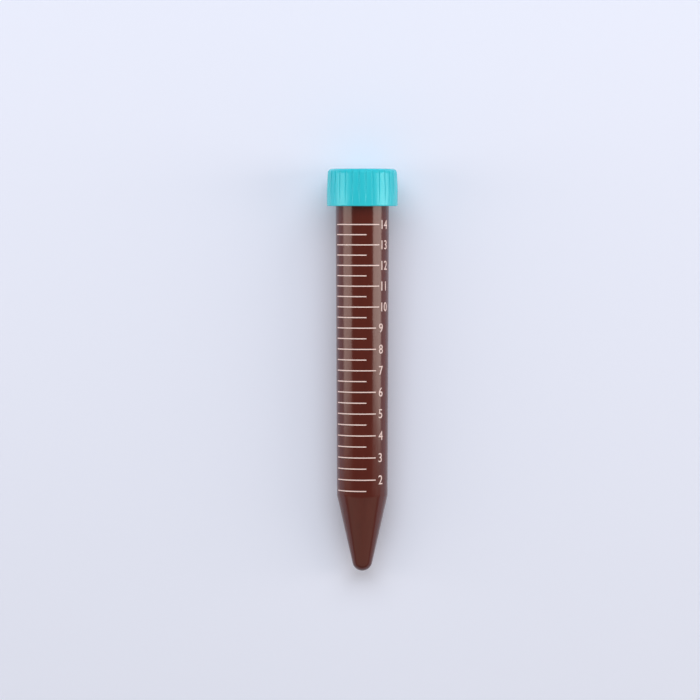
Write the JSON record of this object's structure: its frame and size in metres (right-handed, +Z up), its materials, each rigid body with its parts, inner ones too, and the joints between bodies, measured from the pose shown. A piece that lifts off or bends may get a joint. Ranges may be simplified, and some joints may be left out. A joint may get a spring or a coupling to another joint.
{
  "type": "conical centrifuge tube",
  "caption": "Light-proof conical centrifuge tube with a printed volume scale and a fluted screw cap, lying on its side.",
  "frame": {"origin": "on the ground, under the middle of the bounding box of the tube as it lies", "axes": "+Z up, +Y from the tip towards the cap; the tube's own axis lies in the YZ plane and climbs 2 degrees towards the cap; the printed scale faces +Z"},
  "size_m": [0.0212, 0.1212, 0.0214],
  "materials": {
    "tube_plastic": "glossy moulded polypropylene",
    "print_ink": "matt screen-printed ink",
    "cap_plastic": "satin moulded polyethylene"
  },
  "bodies": {
    "tube": {"tube": "tube_plastic", "graduations": "print_ink"},
    "cap": {"cap": "cap_plastic"}
  },
  "joints": [
    {"name": "cap_lift", "type": "slide", "parent": "tube", "child": "cap", "axis": [0, 0.9994, 0.0348], "range_m": [0, 0.03]}
  ]
}
